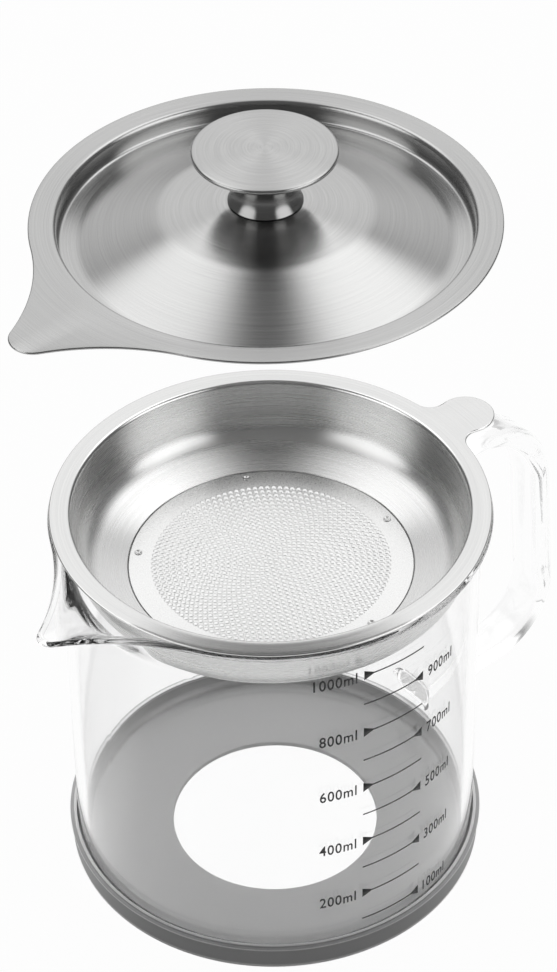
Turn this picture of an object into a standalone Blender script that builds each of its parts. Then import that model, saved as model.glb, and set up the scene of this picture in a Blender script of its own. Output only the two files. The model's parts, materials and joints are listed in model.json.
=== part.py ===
"""Bacon grease container: a glass jug in a silicone sleeve, with a drop-in strainer and a lid.

Metres, +Z up. The jug's axis is vertical. The spout points to -X and the handle to +X. The lid is lifted
off the strainer by LID_LIFT, and everything else is seated.
"""

import math

import bmesh
import bpy
from mathutils import Vector

# Clearances and shared sizes
SEAT_GAP = 0.0003  # left between two pieces that touch
SHEET = 0.0007  # stamped stainless steel
CUT_OVERRUN = 0.002  # how far a cutter runs past what it cuts

# Jug
JUG_RADIUS = 0.0577
JUG_HEIGHT = 0.1178  # foot to rim
GLASS_WALL = 0.0022
GLASS_FLOOR = 0.0026
HEEL_RADIUS = 0.006
RIM_FLARE = 0.0029
RIM_FLARE_HEIGHT = 0.004
SPOUT_LENGTH = 0.0192  # past the rim
SPOUT_TIP_RADIUS = 0.004
SPOUT_FLANK_RADIUS = 0.07
SPOUT_DEPTH = 0.0125

# Handle
HANDLE_WIDTH = 0.013
HANDLE_THICKNESS = 0.0068
HANDLE_EDGE_RADIUS = 0.0026
FINGER_GAP = 0.0382  # from the wall to the grip, at the top
HANDLE_LEAN = 0.0068  # how much further out the grip is at its foot
HANDLE_BELOW_RIM = 0.0132
HANDLE_ABOVE_FOOT = 0.0129
HANDLE_TOP_BEND = 0.029
HANDLE_FOOT_BEND = 0.018
HANDLE_ROOT_FLARE = 0.0012
HANDLE_ROOT_LENGTH = 0.006

# Silicone sleeve
SLEEVE_WALL = 0.0014
SLEEVE_LIP = 0.0006
SLEEVE_LIP_HEIGHT = 0.0016
SLEEVE_HEIGHT = 0.009
SLEEVE_FLOOR = 0.0016
SLEEVE_HOLE_RADIUS = 0.030
SLEEVE_EDGE_RADIUS = 0.0018

# Strainer
FLANGE_INSET = 0.0004  # inside the jug's rim
STRAINER_CLEARANCE = 0.0005  # to the jug's bore
STRAINER_DRAFT = 0.0012
STRAINER_WALL_DEPTH = 0.017
STRAINER_DEPTH = 0.0205
STRAINER_MOUTH_BEND = 0.0012
STRAINER_SHOULDER_BEND = 0.008
RECESS_DEPTH = 0.0008
LEDGE_WIDTH = 0.0044
DISC_RADIUS = 0.0392
DISC_SHEET = 0.0005
HOLE_PITCH = 0.0070
HOLE_RADIUS = 0.0016
HOLE_ZONE_RADIUS = 0.0335
WELD_RADIUS = 0.0009
WELD_FROM_EDGE = 0.0022
WELD_TURN = math.radians(59.5)
WELD_COUNT = 5
TAB_LENGTH = 0.0152  # past the flange
TAB_TIP_RADIUS = 0.008
TAB_FLANK_RADIUS = 0.005
TAB_TURN = math.radians(-6)

# Lid
LID_LIFT = 0.094
PLUG_CLEARANCE = 0.0005  # to the strainer's throat
PLUG_DEPTH = 0.0054
PLUG_MOUTH_BEND = 0.0013
PLUG_FOOT_BEND = 0.0012
LOBE_LENGTH = 0.0206
LOBE_TIP_RADIUS = 0.0065
LOBE_FLANK_RADIUS = 0.06
DOME_FOOT_RADIUS = 0.049
DOME_SHOULDER_RADIUS = 0.027
DOME_SHOULDER_RISE = 0.0080
DOME_SEAT_RADIUS = 0.0115
DOME_RISE = 0.0109
DOME_BEND = 0.022

# Knob
KNOB_RADIUS = 0.0186
KNOB_HEIGHT = 0.0158
KNOB_PLATE = 0.0013
KNOB_CROWN = 0.0007
NECK_FOOT_RADIUS = 0.0096
NECK_WAIST_RADIUS = 0.0074
NECK_HEAD_RADIUS = 0.0142
NECK_FOOT_HEIGHT = 0.0026
NECK_HEAD_HEIGHT = 0.0062
NECK_BEND = 0.006
INSERT_RADIUS = 0.005
SCREW_RADIUS = 0.002
SCREW_GRIP = 0.008
SCREW_HEAD_RADIUS = 0.0038
SCREW_HEAD_HEIGHT = 0.0022
SCREW_SOCKET_RADIUS = 0.0016
SCREW_SOCKET_DEPTH = 0.0012
WASHER_RADIUS = 0.006
WASHER_SHEET = 0.0008

# Sizes that several pieces follow
RIM_RADIUS = JUG_RADIUS + RIM_FLARE
JUG_BORE = JUG_RADIUS - GLASS_WALL
FOOT_Z = SLEEVE_FLOOR + SEAT_GAP
RIM_Z = FOOT_Z + JUG_HEIGHT
FLANGE_RADIUS = RIM_RADIUS - FLANGE_INSET
FLANGE_Z = RIM_Z + SEAT_GAP + SHEET
THROAT_RADIUS = JUG_BORE - STRAINER_CLEARANCE - SHEET
PLUG_RADIUS = THROAT_RADIUS - PLUG_CLEARANCE - SHEET
LID_SEAT_Z = FLANGE_Z + SEAT_GAP + SHEET
LID_Z = LID_SEAT_Z + LID_LIFT
RECESS_RADIUS = DISC_RADIUS + SEAT_GAP
LEDGE_RADIUS = RECESS_RADIUS - LEDGE_WIDTH
SCREW_BORE = SCREW_RADIUS + SEAT_GAP
SPOUT_REACH = RIM_RADIUS + SPOUT_LENGTH

# Facets
TURN_STEPS = 36
LOBE_STEPS = 6
TIP_STEPS = 4
SMALL_TURN_STEPS = 24
HANDLE_BEND_STEPS = 8


def clear_scene():
    for thing in list(bpy.data.objects):
        bpy.data.objects.remove(thing)


def material(name, colour, roughness, metallic=0.0, alpha=1.0):
    made = bpy.data.materials.new(name)
    made.use_nodes = True
    shader = made.node_tree.nodes["Principled BSDF"]
    shader.inputs["Base Color"].default_value = (*colour, 1)
    shader.inputs["Roughness"].default_value = roughness
    shader.inputs["Metallic"].default_value = metallic
    shader.inputs["Alpha"].default_value = alpha
    return made


def axis_point(name, along, height, parent=None):
    """An empty on the jug's axis, which carries the pieces that move together."""
    empty = bpy.data.objects.new(name, None)
    bpy.context.scene.collection.objects.link(empty)
    empty.parent = parent
    empty.location = (along, 0, height)
    return empty


def add_object(name, mesh, parent, look):
    mesh.materials.append(look)
    made = bpy.data.objects.new(name, mesh)
    bpy.context.scene.collection.objects.link(made)
    made.parent = parent
    mesh.shade_smooth()
    mesh.set_sharp_from_angle(angle=math.radians(35))
    return made


def corner_arc(corner, back, on, bend, steps):
    """The points that round one corner, with the sides back and on from it as room for the arc."""
    room = min(back.length, on.length)
    back, on = back.normalized(), on.normalized()
    opening = back.angle(on)
    if bend == 0 or opening > math.radians(179.5):
        return [corner]
    reach = min(bend / math.tan(opening / 2), room)
    bend = reach * math.tan(opening / 2)
    centre = corner + (back + on).normalized() * (bend / math.sin(opening / 2))
    start, end = corner + back * reach - centre, corner + on * reach - centre
    swing = start.angle_signed(end)
    return [centre + turned_vector(start, -swing * n / steps) for n in range(steps + 1)]


def turned_vector(vector, angle):
    cos, sin = math.cos(angle), math.sin(angle)
    return Vector((vector.x * cos - vector.y * sin, vector.x * sin + vector.y * cos))


def rounded_path(corners, steps=2):
    """An open path through (across, up, bend) corners, with its inner corners rounded.

    Two rounded neighbours share the side between them, so a radius is cut back where a side is short.
    """
    spots = [Vector(corner[:2]) for corner in corners]
    path = [spots[0]]
    for n in range(1, len(spots) - 1):
        back, on = spots[n - 1] - spots[n], spots[n + 1] - spots[n]
        back_room_share = 0.5 if corners[n - 1][2] else 0.98
        on_room_share = 0.5 if corners[n + 1][2] else 0.98
        path += corner_arc(spots[n], back * back_room_share, on * on_room_share, corners[n][2], steps)
    return path + [spots[-1]]


def offset_path(path, distance):
    """The path moved sideways, to the left of its run."""
    moved = []
    for n, spot in enumerate(path):
        before = (spot - path[n - 1]).normalized() if n else (path[1] - spot).normalized()
        after = (path[n + 1] - spot).normalized() if n < len(path) - 1 else before
        along = (before + after).normalized()
        stretch = 1 / max(along.dot(before), 0.5)
        moved.append(spot + Vector((-along.y, along.x)) * distance * stretch)
    return moved


def sheet_profile(path, thickness):
    """A closed profile of sheet metal: the path, and back along its left side."""
    return path + offset_path(path, thickness)[::-1]


def plain_turn(steps):
    """Evenly spaced angles, with nothing pushed outwards."""
    return [(2 * math.pi * n / steps, Vector((0, 0))) for n in range(steps)]


def lobed_turn(radius, length, tip_radius, flank_radius, turn):
    """Angles round a circle, and how far each point is pushed out to form one lobe.

    The lobe is a round tip, joined to the circle by two hollow flanks that touch both.
    """
    tip = radius + length - tip_radius
    far, near = radius + flank_radius, tip_radius + flank_radius
    hub_x = (far**2 - near**2 + tip**2) / (2 * tip)
    hub = Vector((hub_x, math.sqrt(max(far**2 - hub_x**2, 0))))
    root = math.atan2(hub.y, hub.x)
    flank_from = math.atan2(-hub.y, -hub.x)
    flank_to = math.atan2(-hub.y, tip - hub.x)
    tip_half = math.atan2(hub.y, hub.x - tip)
    shares = [n / LOBE_STEPS for n in range(LOBE_STEPS)]
    flank = [flank_from + (flank_to - flank_from) * share for share in shares]
    half = [hub + Vector((math.cos(a), math.sin(a))) * flank_radius for a in flank]
    for n in range(TIP_STEPS):
        a = tip_half * (1 - n / TIP_STEPS)
        half.append(Vector((tip + tip_radius * math.cos(a), tip_radius * math.sin(a))))
    middle = Vector((tip + tip_radius, 0))
    lobe = half + [middle] + [Vector((spot.x, -spot.y)) for spot in reversed(half)]
    lobe.reverse()
    runs = [0]
    for n in range(1, len(lobe)):
        runs.append(runs[-1] + (lobe[n] - lobe[n - 1]).length)
    points = []
    for spot, run in zip(lobe, runs):
        angle = root * (2 * run / runs[-1] - 1)
        push = spot - Vector((math.cos(angle), math.sin(angle))) * radius
        points.append((turn + angle, turned_vector(push, turn)))
    rest = TURN_STEPS - 1
    step = (2 * math.pi - 2 * root) / (rest + 1)
    return points + [(turn + root + step * n, Vector((0, 0))) for n in range(1, rest + 1)]


def ring(turn, radius, height, share=1):
    """One ring of points: a circle, with its lobe pushed out by a share."""
    return [
        Vector((radius * math.cos(angle) + share * push.x, radius * math.sin(angle) + share * push.y, height))
        for angle, push in turn
    ]


def lofted_mesh(name, rings, closed):
    """A skin over rings of points. A ring of one point is a pole."""
    made = bmesh.new()
    rows = [[made.verts.new(spot) for spot in spots] for spots in rings]
    pairs = list(zip(rows, rows[1:]))
    if closed:
        pairs.append((rows[-1], rows[0]))
    for low, high in pairs:
        count = max(len(low), len(high))
        for n in range(count):
            m = (n + 1) % count
            corners = [low[n % len(low)], low[m % len(low)], high[m % len(high)], high[n % len(high)]]
            made.faces.new(list(dict.fromkeys(corners)))
    bmesh.ops.recalc_face_normals(made, faces=made.faces)
    mesh = bpy.data.meshes.new(name)
    made.to_mesh(mesh)
    made.free()
    return mesh


def turned_mesh(name, profile, steps=SMALL_TURN_STEPS, closed=True):
    """A profile of (radius, height) points turned about the axis. A radius of zero is a pole."""
    turn = plain_turn(steps)
    rings = [[Vector((0, 0, spot[1]))] if spot[0] == 0 else ring(turn, *spot) for spot in profile]
    return lofted_mesh(name, rings, closed)


def flanged_rings(turn, profile, inner, outer):
    """Rings of a stamped piece whose flange, from inner to outer, is drawn out into a lobe."""
    shares = [min(max((spot[0] - inner) / (outer - inner), 0), 1) for spot in profile]
    return [ring(turn, spot[0], spot[1], share) for spot, share in zip(profile, shares)]


def make_sleeve(parent, look):
    """Silicone sleeve: a low cup that grips the jug's heel, with a round hole in its floor."""
    bore = JUG_RADIUS + SEAT_GAP
    outer = bore + SLEEVE_WALL
    lip = outer + SLEEVE_LIP
    lip_z = SLEEVE_HEIGHT - SLEEVE_LIP_HEIGHT
    profile = rounded_path(
        [
            (SLEEVE_HOLE_RADIUS, 0, 0),
            (outer, 0, SLEEVE_EDGE_RADIUS),
            (outer, lip_z, SLEEVE_LIP),
            (lip, lip_z + SLEEVE_LIP, SLEEVE_LIP),
            (lip, SLEEVE_HEIGHT, SLEEVE_LIP),
            (bore, SLEEVE_HEIGHT, 0),
            (bore, SLEEVE_FLOOR, HEEL_RADIUS + SEAT_GAP),
            (SLEEVE_HOLE_RADIUS, SLEEVE_FLOOR, 0),
        ]
    )
    mesh = turned_mesh("silicone_base", profile, TURN_STEPS + 2 * LOBE_STEPS)
    return add_object("silicone_base", mesh, parent, look)


def make_jug(parent, look):
    """Glass jug: a straight wall with a rounded heel, a flared rim and a spout pulled out of it."""
    outer_turn = lobed_turn(RIM_RADIUS, SPOUT_LENGTH, SPOUT_TIP_RADIUS, SPOUT_FLANK_RADIUS, math.pi)
    inner_turn = lobed_turn(
        RIM_RADIUS - GLASS_WALL,
        SPOUT_LENGTH,
        SPOUT_TIP_RADIUS - GLASS_WALL / 2,
        SPOUT_FLANK_RADIUS + GLASS_WALL,
        math.pi,
    )
    bead = GLASS_WALL / 2
    lip_z = JUG_HEIGHT - bead

    def spout_share(height):
        return max(1 - (lip_z - height) / SPOUT_DEPTH, 0) ** 1.6

    def flare(height):
        return RIM_FLARE * max(1 - (lip_z - height) / RIM_FLARE_HEIGHT, 0) ** 4

    rings = [[Vector((0, 0, 0))]]
    heel = rounded_path([(0, 0, 0), (JUG_RADIUS, 0, HEEL_RADIUS), (JUG_RADIUS, lip_z, 0)])[1:-1]
    rings += [ring(outer_turn, *spot, 0) for spot in heel]
    wall_shares = (0, 0.2, 0.4, 0.6, 0.8, 1)
    heights = [lip_z - SPOUT_DEPTH * (1 - share) for share in wall_shares]
    rings += [ring(outer_turn, JUG_RADIUS + flare(z), z, spout_share(z)) for z in heights]
    outer_lip, inner_lip = rings[-1], ring(inner_turn, RIM_RADIUS - GLASS_WALL, lip_z)
    for angle in (45, 90, 135):
        share, rise = (1 - math.cos(math.radians(angle))) / 2, bead * math.sin(math.radians(angle))
        lip = [a.lerp(b, share) + Vector((0, 0, rise)) for a, b in zip(outer_lip, inner_lip)]
        rings.append(lip)
    rings += [ring(inner_turn, JUG_BORE + flare(z), z, spout_share(z)) for z in reversed(heights)]
    bore_heel = max(HEEL_RADIUS - GLASS_WALL, GLASS_WALL)
    floor = rounded_path([(JUG_BORE, lip_z, 0), (JUG_BORE, GLASS_FLOOR, bore_heel), (0, GLASS_FLOOR, 0)])
    rings += [ring(inner_turn, *spot, 0) for spot in floor[1:-1]]
    rings.append([Vector((0, 0, GLASS_FLOOR))])
    return add_object("glass_jug", lofted_mesh("glass_jug", rings, False), parent, look)


def handle_path():
    """The middle line of the handle, from its foot on the wall, up the grip and back to the wall."""
    grip_x = JUG_RADIUS + FINGER_GAP + HANDLE_THICKNESS / 2
    top_z = JUG_HEIGHT - HANDLE_BELOW_RIM - HANDLE_THICKNESS / 2
    foot_z = HANDLE_ABOVE_FOOT + HANDLE_THICKNESS / 2
    root_x = JUG_RADIUS - CUT_OVERRUN
    flat_x = JUG_RADIUS + HANDLE_ROOT_LENGTH
    loop = rounded_path(
        [
            (flat_x, foot_z, 0),
            (grip_x + HANDLE_LEAN, foot_z, HANDLE_FOOT_BEND),
            (grip_x, top_z, HANDLE_TOP_BEND),
            (flat_x, top_z, 0),
        ],
        HANDLE_BEND_STEPS,
    )
    return [Vector((root_x, foot_z)), *loop, Vector((root_x, top_z))]


def make_handle(parent, look):
    """Glass handle: a rounded bar bent into a full-height loop, cut to the jug's wall at both ends."""
    path = handle_path()
    half_w, half_t = HANDLE_WIDTH / 2, HANDLE_THICKNESS / 2
    edge = min(HANDLE_EDGE_RADIUS, half_t)
    section = []
    for quarter, (side_w, side_t) in enumerate(((1, 1), (-1, 1), (-1, -1), (1, -1))):
        for step in range(3):
            a = math.radians(90 * quarter + 45 * step)
            across = side_w * (half_w - edge) + edge * math.cos(a)
            out = side_t * (half_t - edge) + edge * math.sin(a)
            section.append((across, out))
    rings = []
    for n, spot in enumerate(path):
        before, after = path[max(n - 1, 0)], path[min(n + 1, len(path) - 1)]
        along = (after - before).normalized()
        side = Vector((along.y, -along.x))
        flare = HANDLE_ROOT_FLARE if n in (0, len(path) - 1) else 0
        row = []
        for across, out in section:
            across += math.copysign(flare, across)
            out += math.copysign(flare, out)
            row.append(Vector((spot.x + side.x * out, across, spot.y + side.y * out)))
        rings.append(row)
    mesh = lofted_mesh("glass_handle", rings, False)
    made = bmesh.new()
    made.from_mesh(mesh)
    bmesh.ops.holes_fill(made, edges=made.edges)
    bmesh.ops.recalc_face_normals(made, faces=made.faces)
    made.to_mesh(mesh)
    made.free()
    handle = add_object("glass_handle", mesh, parent, look)
    bore = JUG_RADIUS + SEAT_GAP
    cut_profile = [(0, -CUT_OVERRUN), (bore, -CUT_OVERRUN), (bore, JUG_HEIGHT), (0, JUG_HEIGHT)]
    cut_away(handle, turned_mesh("jug_wall_cutter", cut_profile, 4 * TURN_STEPS, False), parent)
    return handle


def cut_away(target, mesh, parent):
    """Cuts a mesh out of an object with a Boolean."""
    cutter = bpy.data.objects.new(mesh.name, mesh)
    bpy.context.scene.collection.objects.link(cutter)
    cutter.parent = parent
    cutter.hide_render = True
    cutter.display_type = "WIRE"
    cut = target.modifiers.new(mesh.name, "BOOLEAN")
    cut.operation = "DIFFERENCE"
    cut.solver = "EXACT"
    cut.object = cutter
    return cutter


def make_strainer_bowl(parent, look):
    """Strainer bowl: a flange with a thumb tab, a steep wall, a cone and a ledge for the filter disc."""
    foot_radius = THROAT_RADIUS - STRAINER_DRAFT
    ledge_z = -STRAINER_DEPTH - RECESS_DEPTH
    path = rounded_path(
        [
            (LEDGE_RADIUS, ledge_z, 0),
            (RECESS_RADIUS, ledge_z, 0),
            (RECESS_RADIUS, -STRAINER_DEPTH, 0),
            (foot_radius, -STRAINER_WALL_DEPTH, STRAINER_SHOULDER_BEND),
            (THROAT_RADIUS, 0, STRAINER_MOUTH_BEND),
            (FLANGE_RADIUS, 0, 0),
        ]
    )
    turn = lobed_turn(FLANGE_RADIUS, TAB_LENGTH, TAB_TIP_RADIUS, TAB_FLANK_RADIUS, TAB_TURN)
    profile = sheet_profile(path[::-1], SHEET)
    rings = flanged_rings(turn, profile, THROAT_RADIUS + STRAINER_MOUTH_BEND, FLANGE_RADIUS)
    return add_object("strainer_bowl", lofted_mesh("strainer_bowl", rings, True), parent, look)


def weld_places():
    spot_radius = DISC_RADIUS - WELD_FROM_EDGE
    angles = [WELD_TURN + 2 * math.pi * n / WELD_COUNT for n in range(WELD_COUNT)]
    return [Vector((spot_radius * math.cos(a), spot_radius * math.sin(a))) for a in angles]


def hole_places():
    """Centres of a staggered pattern of holes that fills a round zone."""
    rows = int(HOLE_ZONE_RADIUS / HOLE_PITCH) + 2
    row_step = HOLE_PITCH * math.sqrt(3) / 2
    places = []
    for row in range(-rows, rows + 1):
        for column in range(-rows, rows + 1):
            spot = Vector(((column + row % 2 / 2) * HOLE_PITCH, row * row_step))
            if spot.length <= HOLE_ZONE_RADIUS - HOLE_RADIUS:
                places.append(spot)
    return places


def rod_loops(made, centre, radius, low, high, sides):
    """Adds a short rod to a cutter's mesh."""
    rows = []
    for height in (low, high):
        spots = []
        for n in range(sides):
            a = 2 * math.pi * n / sides
            spots.append((centre.x + radius * math.cos(a), centre.y + radius * math.sin(a), height))
        rows.append([made.verts.new(spot) for spot in spots])
    for n in range(sides):
        m = (n + 1) % sides
        made.faces.new((rows[0][n], rows[0][m], rows[1][m], rows[1][n]))
    made.faces.new(rows[0][::-1])
    made.faces.new(rows[1])


def make_filter_disc(parent, look):
    """Filter disc: a thin perforated plate that lies in the bowl's recess, with a hole at each weld."""
    low = -STRAINER_DEPTH - RECESS_DEPTH + SEAT_GAP
    high = low + DISC_SHEET
    profile = [(0, low), (DISC_RADIUS, low), (DISC_RADIUS, high), (0, high)]
    disc = add_object("filter_disc", turned_mesh("filter_disc", profile, TURN_STEPS, False), parent, look)
    cutters = bmesh.new()
    for spot in hole_places():
        rod_loops(cutters, spot, HOLE_RADIUS, low - CUT_OVERRUN, high + CUT_OVERRUN, 6)
    for spot in weld_places():
        rod_loops(cutters, spot, WELD_RADIUS + SEAT_GAP, low - CUT_OVERRUN, high + CUT_OVERRUN, 8)
    mesh = bpy.data.meshes.new("filter_hole_cutters")
    cutters.to_mesh(mesh)
    cutters.free()
    cut_away(disc, mesh, parent)
    return disc


def make_spot_welds(parent, look):
    """Spot welds: the nuggets that hold the filter disc on its ledge."""
    low = -STRAINER_DEPTH - RECESS_DEPTH + SEAT_GAP
    high = low + DISC_SHEET
    mesh = turned_mesh("spot_weld", [(0, low), (WELD_RADIUS, low), (WELD_RADIUS, high), (0, high)], 8, False)
    for n, spot in enumerate(weld_places(), 1):
        weld = add_object(f"spot_weld_{n}", mesh.copy(), parent, look)
        weld.location = (spot.x, spot.y, 0)


def make_lid_shell(parent, look):
    """Lid: a flange with a lobe over the spout, a plug that drops into the strainer, and a low dome."""
    floor_z = -PLUG_DEPTH
    path = rounded_path(
        [
            (SCREW_BORE, floor_z + DOME_RISE, 0),
            (DOME_SEAT_RADIUS, floor_z + DOME_RISE, DOME_BEND),
            (DOME_SHOULDER_RADIUS, floor_z + DOME_SHOULDER_RISE, DOME_BEND),
            (DOME_FOOT_RADIUS, floor_z, DOME_BEND),
            (PLUG_RADIUS, floor_z, PLUG_FOOT_BEND),
            (PLUG_RADIUS, 0, PLUG_MOUTH_BEND),
            (FLANGE_RADIUS, 0, 0),
        ]
    )
    turn = lobed_turn(FLANGE_RADIUS, LOBE_LENGTH, LOBE_TIP_RADIUS, LOBE_FLANK_RADIUS, math.pi)
    profile = sheet_profile(path[::-1], SHEET)
    rings = flanged_rings(turn, profile, PLUG_RADIUS + PLUG_MOUTH_BEND, FLANGE_RADIUS)
    return add_object("lid_shell", lofted_mesh("lid_shell", rings, True), parent, look)


def make_knob(parent, steel, fastener):
    """Knob: a round plate on a hollow flared neck, held by an insert, a washer and a screw from below."""
    seat_z = DOME_RISE - PLUG_DEPTH
    top_z = seat_z + KNOB_HEIGHT
    plate_z = top_z - KNOB_PLATE - KNOB_CROWN
    edge_z = plate_z + KNOB_PLATE
    rim = KNOB_PLATE / 2
    crown_shares = (0.3, 0.6, 0.85)
    crown = [(KNOB_RADIUS * share, edge_z + KNOB_CROWN * (1 - share**2)) for share in crown_shares]
    plate = [(0, top_z), *crown, (KNOB_RADIUS - rim, edge_z)]
    for angle in (45, 0, -45):
        a = math.radians(angle)
        plate.append((KNOB_RADIUS - rim + rim * math.cos(a), plate_z + rim + rim * math.sin(a)))
    plate += [(KNOB_RADIUS - rim, plate_z), (0, plate_z)]
    add_object("knob_top", turned_mesh("knob_top", plate, 2 * SMALL_TURN_STEPS, False), parent, steel)

    foot_z, head_z = seat_z + SEAT_GAP, plate_z - SEAT_GAP
    neck = rounded_path(
        [
            (NECK_FOOT_RADIUS, foot_z, 0),
            (NECK_WAIST_RADIUS, foot_z + NECK_FOOT_HEIGHT, NECK_BEND),
            (NECK_WAIST_RADIUS, head_z - NECK_HEAD_HEIGHT, NECK_BEND),
            (NECK_HEAD_RADIUS, head_z, 0),
        ]
    )
    inner = [Vector((spot.x - SHEET, spot.y)) for spot in reversed(neck)]
    add_object("knob_neck", turned_mesh("knob_neck", neck + inner), parent, steel)

    bore_z = foot_z + SCREW_GRIP + SEAT_GAP
    insert = [(0, head_z), (INSERT_RADIUS, head_z), (INSERT_RADIUS, foot_z), (SCREW_BORE, foot_z)]
    insert += [(SCREW_BORE, bore_z), (0, bore_z)]
    add_object("knob_insert", turned_mesh("knob_insert", insert, closed=False), parent, fastener)

    washer_top = seat_z - SHEET - SEAT_GAP
    washer_z = washer_top - WASHER_SHEET
    washer = [(SCREW_BORE, washer_z), (WASHER_RADIUS, washer_z), (WASHER_RADIUS, washer_top)]
    washer.append((SCREW_BORE, washer_top))
    add_object("knob_washer", turned_mesh("knob_washer", washer), parent, fastener)

    head_top = washer_z - SEAT_GAP
    head_z = head_top - SCREW_HEAD_HEIGHT
    screw = [(0, foot_z + SCREW_GRIP), (SCREW_RADIUS, foot_z + SCREW_GRIP), (SCREW_RADIUS, head_top)]
    screw += [(SCREW_HEAD_RADIUS, head_top), (SCREW_HEAD_RADIUS, head_z), (0, head_z)]
    made = add_object("knob_screw", turned_mesh("knob_screw", screw, closed=False), parent, fastener)
    low, high = head_z - CUT_OVERRUN, head_z + SCREW_SOCKET_DEPTH
    socket = [(0, low), (SCREW_SOCKET_RADIUS, low), (SCREW_SOCKET_RADIUS, high), (0, high)]
    cut_away(made, turned_mesh("screw_socket_cutter", socket, 6, False), parent)


def main():
    clear_scene()
    silicone = material("silicone", (0.16, 0.16, 0.165), 0.65)
    glass = material("borosilicate_glass", (0.92, 0.94, 0.94), 0.02, alpha=0.3)
    steel = material("brushed_stainless_steel", (0.62, 0.62, 0.62), 0.3, 1.0)
    fastener = material("zinc_plated_steel", (0.55, 0.56, 0.58), 0.35, 1.0)

    spout_side = max(SPOUT_REACH, FLANGE_RADIUS + LOBE_LENGTH)
    handle_side = max(spot.x for spot in handle_path()) + HANDLE_THICKNESS / 2
    axis = axis_point("sleeve_axis", (spout_side - handle_side) / 2, 0)
    jug_axis = axis_point("jug_axis", 0, FOOT_Z, axis)
    strainer_axis = axis_point("strainer_axis", 0, FLANGE_Z, axis)
    lid_axis = axis_point("lid_axis", 0, LID_Z, axis)

    make_sleeve(axis, silicone)
    make_jug(jug_axis, glass)
    make_handle(jug_axis, glass)
    make_strainer_bowl(strainer_axis, steel)
    make_filter_disc(strainer_axis, steel)
    make_spot_welds(strainer_axis, steel)
    make_lid_shell(lid_axis, steel)
    make_knob(lid_axis, steel, fastener)


main()
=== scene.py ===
# Looks of a bacon grease container: glass jug, silicone sleeve, steel strainer and steel lid.
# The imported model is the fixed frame. Everything here is in metres, in the frame's own place.
import json
import math

import bmesh
import bpy
from mathutils import Matrix, Vector
from mathutils.geometry import delaunay_2d_cdt

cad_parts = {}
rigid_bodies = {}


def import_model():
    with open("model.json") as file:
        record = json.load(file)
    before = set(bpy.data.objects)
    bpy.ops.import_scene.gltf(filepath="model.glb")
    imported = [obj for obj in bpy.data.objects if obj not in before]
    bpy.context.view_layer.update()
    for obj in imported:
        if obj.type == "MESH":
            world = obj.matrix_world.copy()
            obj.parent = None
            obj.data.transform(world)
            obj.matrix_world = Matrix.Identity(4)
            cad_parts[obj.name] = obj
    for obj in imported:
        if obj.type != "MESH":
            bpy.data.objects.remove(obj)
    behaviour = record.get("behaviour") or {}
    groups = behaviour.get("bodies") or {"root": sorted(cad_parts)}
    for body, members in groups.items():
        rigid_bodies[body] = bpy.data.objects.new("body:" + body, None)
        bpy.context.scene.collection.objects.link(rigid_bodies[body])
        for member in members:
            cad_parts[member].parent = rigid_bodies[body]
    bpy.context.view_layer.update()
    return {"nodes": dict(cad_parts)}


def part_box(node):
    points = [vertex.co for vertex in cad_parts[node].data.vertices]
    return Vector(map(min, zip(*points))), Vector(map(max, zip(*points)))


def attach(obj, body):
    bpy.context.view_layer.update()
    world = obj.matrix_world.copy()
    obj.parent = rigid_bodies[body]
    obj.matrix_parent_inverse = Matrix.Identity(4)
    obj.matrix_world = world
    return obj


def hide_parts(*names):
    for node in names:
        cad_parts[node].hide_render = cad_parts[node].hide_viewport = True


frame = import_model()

# Silicone sleeve
# A low cup of soft grey silicone, moulded in one piece with a round window in its floor and a thicker lip.
# It is stretched over the foot of the jug and holds on by its own grip.
MM = 0.001
SLEEVE_LIP = 0.6 * MM
SLEEVE_LIP_HEIGHT = 1.6 * MM
SLEEVE_WALL = 1.4 * MM
SLEEVE_FLOOR = 1.6 * MM
SLEEVE_WINDOW_RADIUS = 30 * MM
SLEEVE_FOOT_BEND = 1.8 * MM
SLEEVE_HEEL_BEND = 6.3 * MM
SLEEVE_EDGE_BEND = 0.4 * MM
SLEEVE_STEP_WIDTH = 0.9 * MM  # the inner part of the lip stands higher by a small step
SLEEVE_STEP_DROP = 0.5 * MM
SLEEVE_STEP_BEND = 0.2 * MM
TURN_STEPS = 240  # facets of a full turn
BEND_STEPS = 8  # facets of a rounded corner
SHARP_ANGLE = math.radians(38)
STRAIGHT_ENOUGH = math.radians(89.7)  # half the angle of a corner that isn't worth an arc
ROOM_SHARED = 0.5  # how much of an edge an arc may take where the next corner has an arc too
ROOM_ALONE = 0.98

SILICONE_GREY = "#a6a6a6"
SILICONE_DARK = "#9e9e9f"
SILICONE_FLOOR_PAINTED_LIGHT = "#ececec"  # painted light: the floor inside the jug is painted paler than the wall, as if more light fell on it
SILICONE_EDGE_HIGHLIGHT = "#d8d8d8"  # painted highlight: both edges of the lip are painted pale, as thin lines of light along them
EDGE_HIGHLIGHT_HALF = 0.16 * MM
# the heights over which the painted light on the floor gives way to the wall's grey
SILICONE_FLOOR_PAINTED_LIGHT_HEIGHT = (1.7 * MM, 2.3 * MM)
SILICONE_IOR = 1.41
SILICONE_ROUGHNESS = (0.42, 0.56)
MOULD_GRAIN = 0.5 * MM  # spark-eroded mould skin; the real grain is a tenth of this, drawn coarser to show
MOULD_GRAIN_HEIGHT = 0.004 * MM
MOULD_MOTTLE = 9 * MM
PLAIN_DETAIL, FINE_DETAIL = 2.0, 3.0  # how many times a noise is broken up finer

sleeve_low, sleeve_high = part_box("silicone_base")
axis_x = (sleeve_low.x + sleeve_high.x) / 2


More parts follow.
